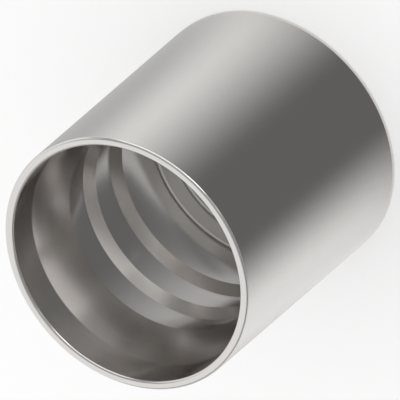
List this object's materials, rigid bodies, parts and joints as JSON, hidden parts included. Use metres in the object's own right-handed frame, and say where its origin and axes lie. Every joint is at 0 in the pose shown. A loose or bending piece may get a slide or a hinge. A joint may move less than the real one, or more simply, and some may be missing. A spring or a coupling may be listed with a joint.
{
  "type": "crimp hose ferrule",
  "caption": "Turned steel sleeve crimped over a hydraulic hose end. Saw-tooth ridges in its bore grip the hose cover, and its collar locks on the stem.",
  "frame": {"origin": "centre of the flat end of the collar, on which the ferrule stands", "axes": "+Z along the axis of the sleeve, from the collar end to the mouth; the part is round, so X and Y are free"},
  "size_m": [0.048, 0.048, 0.0506],
  "materials": {
    "steel": "bright turned"
  },
  "bodies": {
    "root": {"ferrule": "steel"}
  },
  "joints": []
}
